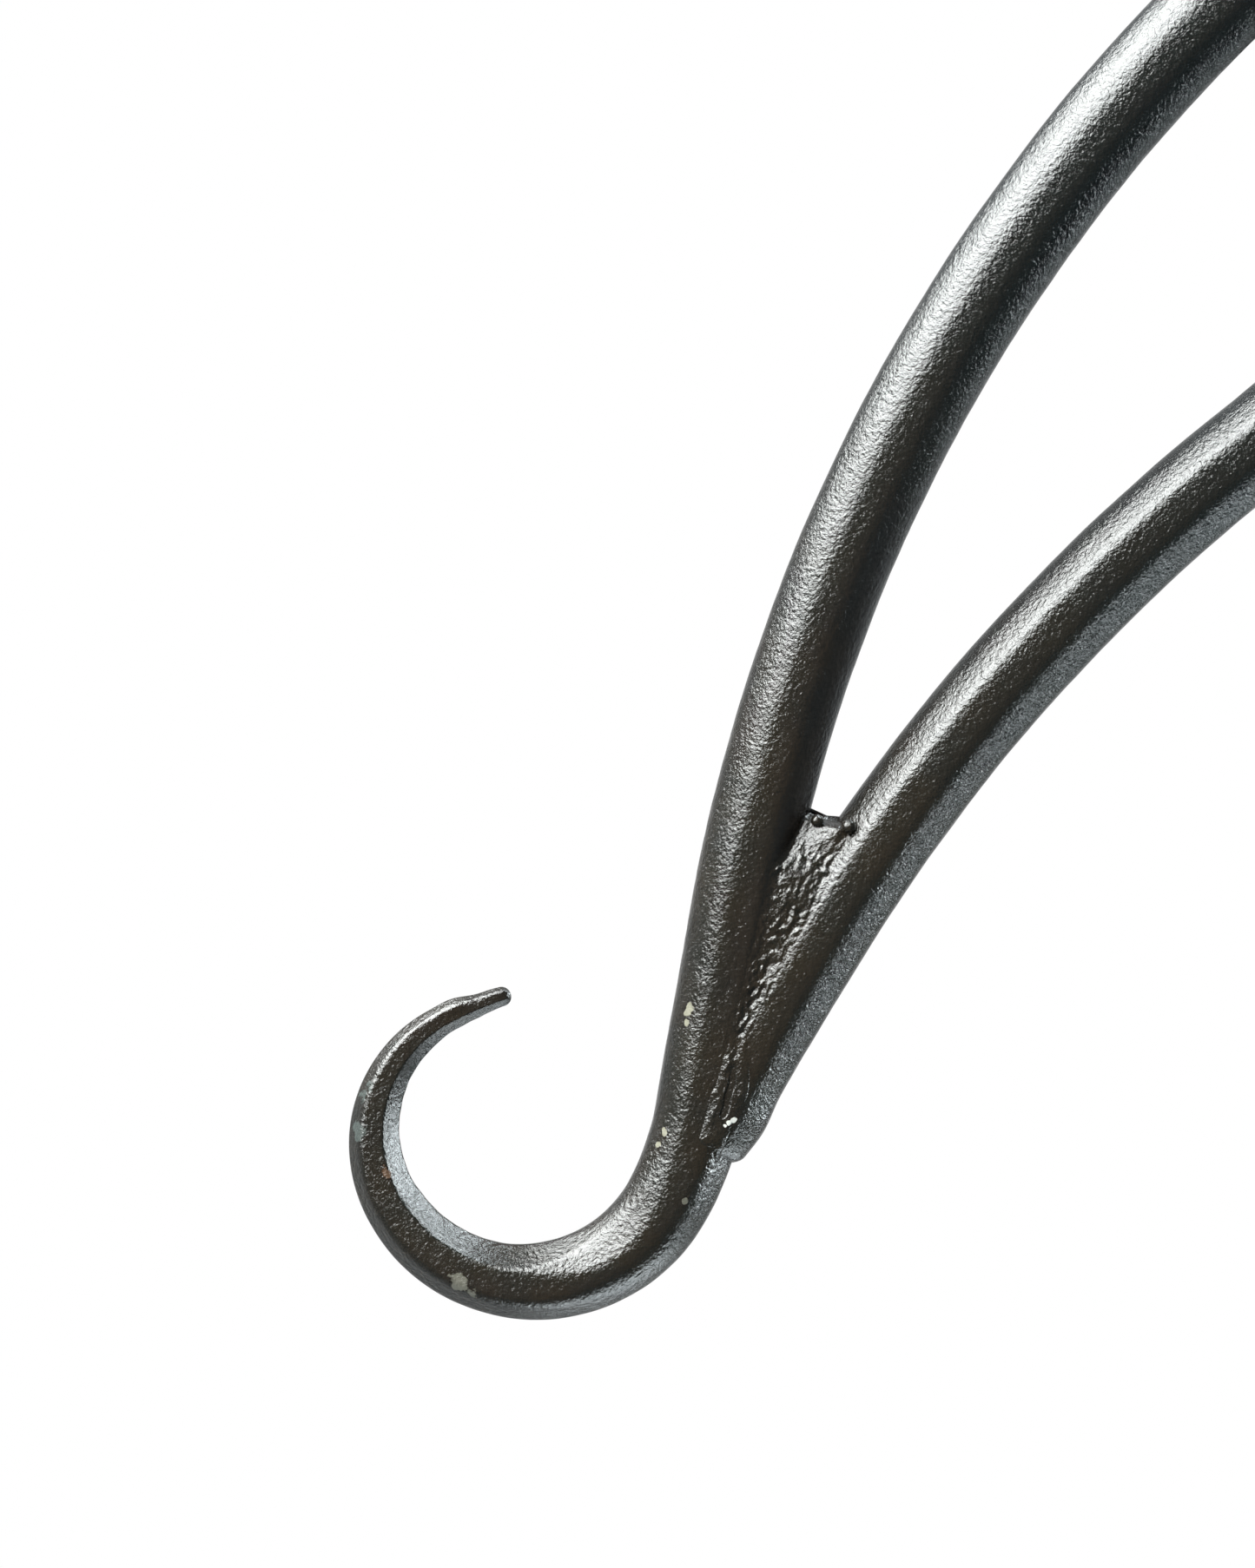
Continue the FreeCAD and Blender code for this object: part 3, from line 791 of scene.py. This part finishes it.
def make_washer(node, start, seed, material):
    end = start + WASHER_THICKNESS
    outline = rounded([(JOURNAL_RADIUS, start, 0.25), (WASHER_RADIUS, start, 0.3), (WASHER_RADIUS, end, 0.45),
                       (JOURNAL_RADIUS, end, 0.3)], closed=True, step=0.5)
    washer = turned(outline, 120, closed=True, worn=0.02, seed=seed)
    add_turned(node, [washer], "wall_mount", material)


def make_lock_nut(material):
    """Thin hexagon nut, chamfered on both faces."""
    corner, back, front = NUT_FLATS / math.sqrt(3), LOCK_NUT_AT, CAP_NUT_AT
    outline = rounded([(THREAD_RADIUS, back, 0.4), (corner - 0.8, back, 0.2), (corner, back + 0.5, 0.1),
                       (corner, front - 0.5, 0.1), (corner - 0.8, front, 0.2), (THREAD_RADIUS, front, 0.4)],
                      closed=True, step=0.4)
    nut = turned(outline, 144, closed=True, across_flats=NUT_FLATS, worn=0.02, seed=331)
    add_turned("lock_nut", [nut], "wall_mount", material)


def make_cap_nut(material):
    """Hexagon nut with a collar and a dome over the thread's end."""
    corner, back, front = NUT_FLATS / math.sqrt(3), CAP_NUT_AT, CAP_NUT_AT + CAP_NUT_HEX_HEIGHT
    dome_base = front + CAP_NUT_COLLAR
    outline = rounded([(THREAD_RADIUS, THREAD_END + 1.0, 0), (THREAD_RADIUS, back, 0.3),
                       (corner - 0.8, back, 0.2), (corner, back + 0.5, 0.1), (corner, front - 0.7, 0.2),
                       (corner - 0.9, front, 0.2), (DOME_RADIUS, front, 0.25), (DOME_RADIUS, dome_base, 0)],
                      step=0.4)
    rise = np.radians(np.linspace(2.0, 88.0, 26))
    dome = np.column_stack([DOME_RADIUS * np.cos(rise), dome_base + DOME_RADIUS * np.sin(rise)])
    nut = turned(np.vstack([outline, dome]), 144, across_flats=NUT_FLATS, worn=0.03, seed=332)
    add_turned("cap_nut", [nut], "wall_mount", material)


def make_post_weld(material):
    """Fillet weld round the post's foot, in overlapping ripples."""
    leg, foot = POST_WELD_LEG, PLATE_THICKNESS
    outline = rounded([(POST_RADIUS - 0.4, foot - 0.35, 0), (POST_RADIUS + leg, foot - 0.35, 0.3),
                       (POST_RADIUS + leg * 0.80, foot + leg * 0.78, 1.2),
                       (POST_RADIUS - 0.4, foot + leg, 0.3)], closed=True, step=0.12)

    def rippled(radius, station, angle):
        lean = (station - foot) / leg
        turn_on = angle * POST_WELD_RIPPLES / (2 * math.pi) - 0.9 * (lean - 0.5) ** 2
        uneven = noise_on(around(radius, station, angle), 2.2, 341)
        ripple = 0.10 * np.cos(2 * math.pi * turn_on) + 0.12 * uneven
        return radius + ripple * smooth(POST_RADIUS + 0.1, POST_RADIUS + leg * 0.5, radius)

    weld = turned(outline, 420, closed=True, reshape=rippled)
    add_turned("post_weld", [weld], "wall_mount", material)


def make_pivot_hub(material):
    """Barrel that runs on the journal, its two rims rounded by forging."""
    back, front = STAND_OFF - HUB_LENGTH / 2, STAND_OFF + HUB_LENGTH / 2
    outline = rounded([(HUB_BORE_RADIUS, back, 0.3), (HUB_RADIUS, back, 0.8), (HUB_RADIUS, front, 0.8),
                       (HUB_BORE_RADIUS, front, 0.3)], closed=True, step=0.5)

    def forged(radius, station, angle):
        surface = around(radius, station, angle)
        uneven = 0.10 * (noise_on(surface, 6.0, 351) + 0.5 * noise_on(surface, 2.5, 352) - 0.5)
        return radius + uneven * smooth(HUB_BORE_RADIUS + 1.0, HUB_RADIUS - 0.5, radius)

    add_turned("pivot_hub", [turned(outline, 144, closed=True, reshape=forged)], "dog", material)


def make_hub_weld(node, side_sign, facing, seed, material):
    """Rippled bead between the hub and one bar, tapering to both ends."""
    along = np.linspace(-0.5, 0.5, int(HUB_BEAD_LENGTH / HUB_BEAD_STEP)) * HUB_BEAD_LENGTH
    to_end = HUB_BEAD_LENGTH / 2 - np.abs(along)
    swell = 0.45 + 0.55 * np.sqrt(1 - (1 - np.clip(to_end / (0.3 * HUB_BEAD_LENGTH), 0.0, 1.0)) ** 2)
    swell = swell * np.clip(to_end / 0.7, 0.02, 1.0) ** 0.5
    angle = np.linspace(0.0, 2 * math.pi, 72, endpoint=False)[None, :]
    turn_on = along[:, None] / HUB_BEAD_PITCH - 0.35 * (1 - np.sin(angle))
    ring = np.broadcast_arrays(along[:, None], 2 * np.cos(angle), 2 * np.sin(angle))
    uneven = 1 + 0.045 * np.cos(2 * math.pi * turn_on) + 0.06 * noise_on(np.stack(ring, axis=-1), 2.2, seed)
    reach = (HUB_BEAD_RADIUS - 0.08) * swell[:, None] * uneven
    sideways = direction(ARM_HEADING + 90)
    middle = sideways * side_sign * (BAR_OFFSET - HUB_BEAD_INSET)
    plan = middle + direction(ARM_HEADING) * along[:, None]
    plan = plan[:, None, :] + sideways * (reach * np.cos(angle))[..., None]
    out = HUB_BEAD_DEPTH + reach * np.sin(angle)
    points, faces = closed_tube(np.concatenate([plan, (out * facing)[..., None]], axis=-1))
    add_piece(node + "_bead", place(points), faces, "dog", material, node)


# ---- materials ----------------------------------------------------------------------------------

class PaintNodes:
    """Short names for the nodes of one paint."""

    def __init__(self, name):
        self.material = bpy.data.materials.new(name)
        self.material.use_nodes = True
        self.nodes, self.links = self.material.node_tree.nodes, self.material.node_tree.links
        self.shader = self.nodes["Principled BSDF"]
        self.where = self.nodes.new("ShaderNodeTexCoord").outputs["Object"]

    def set(self, socket, value):
        if isinstance(value, bpy.types.NodeSocket):
            self.links.new(value, socket)
        elif isinstance(value, tuple) and len(value) == 3 and len(socket.default_value) == 4:
            socket.default_value = (*value, 1.0)
        else:
            socket.default_value = value

    def add(self, kind, inputs, **settings):
        """A new node with its inputs, by name or number, and its settings."""
        node = self.nodes.new("ShaderNode" + kind)
        for setting, value in settings.items():
            setattr(node, setting, value)
        for socket, value in inputs.items():
            self.set(node.inputs[socket], value)
        return node

    def grain(self, size_mm, detail=2.0, roughness=0.5):
        scale = 1.0 / (size_mm * MM)
        inputs = {"Vector": self.where, "Scale": scale, "Detail": detail, "Roughness": roughness}
        return self.add("TexNoise", inputs).outputs["Fac"]

    def math(self, operation, *values):
        return self.add("Math", dict(enumerate(values)), operation=operation).outputs[0]

    def spread(self, value, from_low, from_high, to_low, to_high):
        inputs = dict(enumerate((value, from_low, from_high, to_low, to_high)))
        return self.add("MapRange", inputs).outputs["Result"]

    def distance(self, place_m):
        return self.add("VectorMath", {0: self.where, 1: place_m}, operation="DISTANCE").outputs["Value"]

    def mix(self, factor, first, second):
        kind = "RGBA" if isinstance(second, tuple) else "FLOAT"
        node = self.add("Mix", {}, data_type=kind)
        sockets = [socket for socket in node.inputs if socket.enabled]
        for socket, value in zip(sockets, (factor, first, second)):
            self.set(socket, value)
        return [socket for socket in node.outputs if socket.enabled][0]

    def bump(self, height, distance_mm):
        inputs = {"Strength": 1.0, "Distance": distance_mm * MM, "Height": height}
        return self.add("Bump", inputs).outputs["Normal"]


def paint(name, black, brown, roughness, grain_mm, grain_depth, coarse_at=None, spots=()):
    """Gloss black paint over worked steel, browner and more wrinkled near coarse_at, a place in metres.

    Spots are chips and rust, grey patches of painted sheen, and a pale flake brightened as a painted
    highlight: (place in metres, radius mm, colour, roughness).
    """
    paints = PaintNodes(name)
    cloud = paints.spread(paints.grain(4.5, 4.0), 0.36, 0.64, 0.0, 1.0)
    if coarse_at is not None:
        near = paints.spread(paints.distance(coarse_at), 0.075, 0.022, 0.0, 1.0)
        cloud = paints.math("MULTIPLY", paints.spread(cloud, 0.0, 1.0, 0.55, 1.0), near)
    colour = paints.mix(cloud, black, brown)
    gloss = paints.spread(paints.grain(1.3, 4.0), 0.35, 0.65, roughness * 0.75, roughness * 1.3)
    ragged = paints.grain(0.6, 3.0)
    # each spot paints its colour and roughness: chips and rust, and also painted sheen and painted highlights
    for spot, radius, spot_colour, spot_roughness in spots:
        edge = paints.math("MULTIPLY_ADD", ragged, -1.7 * radius * MM, paints.distance(spot))
        inside = paints.spread(edge, 0.10 * radius * MM, -0.05 * radius * MM, 0.0, 1.0)
        colour = paints.mix(inside, colour, spot_colour)
        gloss = paints.mix(inside, gloss, spot_roughness)
    paints.set(paints.shader.inputs["Base Color"], colour)
    paints.set(paints.shader.inputs["Roughness"], gloss)
    height = paints.grain(grain_mm, 3.0, 0.62)
    if coarse_at is not None:
        height = paints.math("MULTIPLY", height, paints.spread(near, 0.0, 1.0, 1.25, 1.1))
    paints.set(paints.shader.inputs["Normal"], paints.bump(height, grain_depth))
    return paints.material


def on_dog(right, up, out):
    """A place on the dog in metres, from its layout in mm."""
    return tuple(place([right, up, out])[0])


BLACK = (0.0036, 0.0042, 0.0044)
BROWN = (0.0072, 0.0056, 0.0040)
CREAM = (0.070, 0.066, 0.045)
# near-white flake colour: a chip brightened to a painted highlight
FLAKE_AND_GLINT = (0.30, 0.30, 0.28)
PALE_CHIP = (0.045, 0.043, 0.032)
RUST = (0.032, 0.0125, 0.0018)
# painted sheen: a lighter grey for patches standing in for reflections on the hook's outer bevel
SHEEN_GREY = (0.020, 0.024, 0.022)
# Chips and rust, grey patches of painted sheen on the hook's outer bevel, and a near-white flake whose
# brightness is partly a painted highlight, as (place, radius in mm, colour, roughness)
CHIPS_RUST_AND_SHEEN = (
    (on_dog(-73.8, -87.3, 2.9), 0.60, CREAM, 0.6),
    (on_dog(-73.9, -88.3, 2.8), 0.32, CREAM, 0.6),
    (on_dog(-75.8, -97.0, 2.6), 0.42, CREAM, 0.6),
    (on_dog(-76.2, -98.0, 2.4), 0.32, CREAM, 0.6),
    (on_dog(-73.9, -102.5, 3.3), 0.30, PALE_CHIP, 0.5),
    (on_dog(-92.0, -109.2, 2.9), 1.0, PALE_CHIP, 0.5),
    (on_dog(-91.0, -110.1, 2.8), 0.7, PALE_CHIP, 0.5),
    (on_dog(-97.6, -100.3, 2.5), 0.80, RUST, 0.5),
    # painted sheen: grey patches on the hook's outer bevel standing in for reflections
    (on_dog(-100.3, -97.0, 1.6), 1.0, SHEEN_GREY, 0.35),
    (on_dog(-100.3, -93.6, 1.6), 1.3, SHEEN_GREY, 0.35),
    (on_dog(-98.4, -89.4, 1.6), 1.4, SHEEN_GREY, 0.35),
    (on_dog(-95.6, -87.0, 1.3), 1.0, SHEEN_GREY, 0.35),
    # near-white flake by the crevice: a chip whose brightness is a painted highlight
    (on_dog(-70.1, -96.1, 3.35), 0.32, FLAKE_AND_GLINT, 0.35),
    (on_dog(-70.45, -96.3, 3.35), 0.30, FLAKE_AND_GLINT, 0.35),
    (on_dog(-70.75, -96.55, 3.35), 0.20, FLAKE_AND_GLINT, 0.35),
)
# the flakes, chips brightened as painted highlights, also go on the weld paint
FLAKES_AND_GLINTS = CHIPS_RUST_AND_SHEEN[-3:]
NECK_PLACE = on_dog(-76.0, -92.0, 0.0)
bar_paint = paint("bar_paint", BLACK, BROWN, 0.16, 0.38, 0.11, NECK_PLACE, CHIPS_RUST_AND_SHEEN)
weld_paint = paint("weld_paint", BLACK, BROWN, 0.15, 0.38, 0.12, NECK_PLACE, FLAKES_AND_GLINTS)
plain_paint = paint("plain_paint", BLACK, BROWN, 0.26, 0.5, 0.12)
screw_paint = paint("screw_paint", BLACK, BROWN, 0.28, 0.4, 0.08)
for satin in (plain_paint, screw_paint):
    satin.node_tree.nodes["Principled BSDF"].inputs["Specular IOR Level"].default_value = 0.3

# ---- the pieces ---------------------------------------------------------------------------------

FACES = (("front", 1), ("back", -1))
lower_hooked, upper_hooked = HookedHalf(1.0), HookedHalf(UPPER_ARM_SHARE)
lower_scarfed = ScarfedHalf(1.0, lower_hooked.neck_point)
upper_scarfed = ScarfedHalf(UPPER_ARM_SHARE, upper_hooked.neck_point)
make_bar("lower_bar", lower_hooked, upper_scarfed, False, 11, bar_paint, "lower_hook_bar")
make_bar("upper_bar", upper_hooked, lower_scarfed, True, 31, bar_paint, "upper_hook_bar")
for arm, hooked, scarfed, opposite in (("lower", lower_hooked, lower_scarfed, False),
                                       ("upper", upper_hooked, upper_scarfed, True)):
    for face, facing in FACES:
        node = "%s_seam_weld_%s" % (arm, face)
        seed = 50 + 10 * len(node) + facing
        make_seam_weld(node, hooked, scarfed, opposite, facing, seed, weld_paint)

make_pivot_hub(plain_paint)
for bar, side_sign in (("lower", -1), ("upper", 1)):
    for face, facing in FACES:
        node = "hub_weld_%s_bar_%s" % (bar, face)
        make_hub_weld(node, side_sign, facing, 400 + 2 * side_sign + facing, weld_paint)
make_pivot_post(plain_paint)
make_washer("back_washer", BACK_WASHER_AT, 321, plain_paint)
make_washer("front_washer", FRONT_WASHER_AT, 322, plain_paint)
make_lock_nut(plain_paint)
make_cap_nut(plain_paint)
make_post_weld(weld_paint)
make_wall_plate(plain_paint)
for number in (1, 2, 3, 4):
    make_wall_screw(number, screw_paint)

# ---- stage, lights and camera -------------------------------------------------------------------

VIEW_RIGHT, VIEW_UP, VIEW_OUT = axis_of([1, 0, 0]), axis_of([0, 1, 0]), axis_of([0, 0, 1])
# The room that reflections see, as colours by the angle in degrees from straight behind the camera
ROOM = ((24, (0.29, 0.232, 0.175)), (42, (0.056, 0.088, 0.100)), (90, (0.19, 0.24, 0.26)),
        (116, (0.34, 0.39, 0.41)), (144, (0.50, 0.53, 0.54)), (180, (0.8, 0.8, 0.8)))
view_centre = Vector(place([*VIEW_CENTRE, 0])[0])


def add_camera():
    """Camera square to the dog's plane, over the lower hook."""
    data = bpy.data.cameras.new("camera")
    data.lens = SENSOR * VIEW_DISTANCE / VIEW_HEIGHT
    data.sensor_width = SENSOR
    data.clip_start = 0.01
    camera = add_object("camera", data)
    axes = Matrix((VIEW_RIGHT, VIEW_UP, VIEW_OUT)).transposed().to_4x4()
    camera.matrix_world = Matrix.Translation(view_centre + VIEW_OUT * VIEW_DISTANCE * MM) @ axes
    bpy.context.scene.camera = camera


def add_softbox(name, around, off_axis, distance, size, radiance, colour):
    """A rectangular light aimed at the dog, by its direction in the view and its angle from the camera's."""
    data = bpy.data.lights.new(name, "AREA")
    data.shape = "RECTANGLE"
    data.size, data.size_y = size
    data.energy = radiance * math.pi * size[0] * size[1]
    data.color = colour
    light = add_object(name, data)
    sideways = VIEW_RIGHT * math.cos(math.radians(around)) + VIEW_UP * math.sin(math.radians(around))
    away = VIEW_OUT * math.cos(math.radians(off_axis)) + sideways * math.sin(math.radians(off_axis))
    across = away.cross(sideways).normalized()
    upward = away.cross(across)
    axes = Matrix((across, upward, away)).transposed().to_4x4()
    light.matrix_world = Matrix.Translation(view_centre + away * distance) @ axes
    light.visible_camera = False


def add_world():
    """White studio: the camera sees plain white, and reflections see the room."""
    world = bpy.data.worlds.new("studio")
    world.use_nodes = True
    nodes, links = world.node_tree.nodes, world.node_tree.links
    nodes.clear()
    output = nodes.new("ShaderNodeOutputWorld")
    seen = nodes.new("ShaderNodeBackground")
    seen.inputs["Color"].default_value = (1, 1, 1, 1)
    lit = nodes.new("ShaderNodeBackground")
    where = nodes.new("ShaderNodeTexCoord")
    parts = nodes.new("ShaderNodeSeparateXYZ")
    links.new(where.outputs["Generated"], parts.inputs[0])
    ramp = nodes.new("ShaderNodeValToRGB")
    share = nodes.new("ShaderNodeMapRange")
    share.inputs["From Min"].default_value = -1.0
    links.new(parts.outputs["Y"], share.inputs["Value"])
    links.new(share.outputs["Result"], ramp.inputs["Fac"])
    while len(ramp.color_ramp.elements) < len(ROOM):
        ramp.color_ramp.elements.new(0.5)
    for element, (off_axis, colour) in zip(ramp.color_ramp.elements, ROOM):
        element.position = (1 - math.cos(math.radians(off_axis))) / 2
        element.color = (*colour, 1)
    links.new(ramp.outputs["Color"], lit.inputs["Color"])
    path = nodes.new("ShaderNodeLightPath")
    mix = nodes.new("ShaderNodeMixShader")
    links.new(path.outputs["Is Camera Ray"], mix.inputs["Fac"])
    links.new(lit.outputs[0], mix.inputs[1])
    links.new(seen.outputs[0], mix.inputs[2])
    links.new(mix.outputs[0], output.inputs[0])
    bpy.context.scene.world = world


def add_floor():
    """Round pale floor below the dog, out of its reflections."""
    level = cad_box[0][2] - FLOOR_DROP
    turns = np.linspace(0, 2 * math.pi, 97)[:-1]
    rim = [(FLOOR_RADIUS * math.cos(turn), FLOOR_RADIUS * math.sin(turn), level) for turn in turns]
    floor = add_mesh("floor", rim, [range(len(rim))])
    material = bpy.data.materials.new("floor")
    material.use_nodes = True
    shader = material.node_tree.nodes["Principled BSDF"]
    shader.inputs["Base Color"].default_value = (0.85, 0.85, 0.84, 1)
    shader.inputs["Roughness"].default_value = 0.9
    floor.data.materials.append(material)
    floor.visible_glossy = False
    floor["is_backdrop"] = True


add_camera()
add_world()
add_floor()
COOL = (0.88, 0.97, 1.0)
add_softbox("key", 125, 70, 0.6, size=(0.58, 0.84), radiance=25.0, colour=(0.97, 1.0, 0.985))
add_softbox("side", 26, 100, 0.7, size=(1.3, 0.30), radiance=36.0, colour=COOL)
add_softbox("low_side", -68, 100, 0.7, size=(0.60, 0.24), radiance=11.0, colour=COOL)
bpy.context.scene.view_settings.view_transform = "Standard"

boxes = {"cad": cad_box, "visual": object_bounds()}
{name: [list(corner) for corner in box] for name, box in boxes.items()}
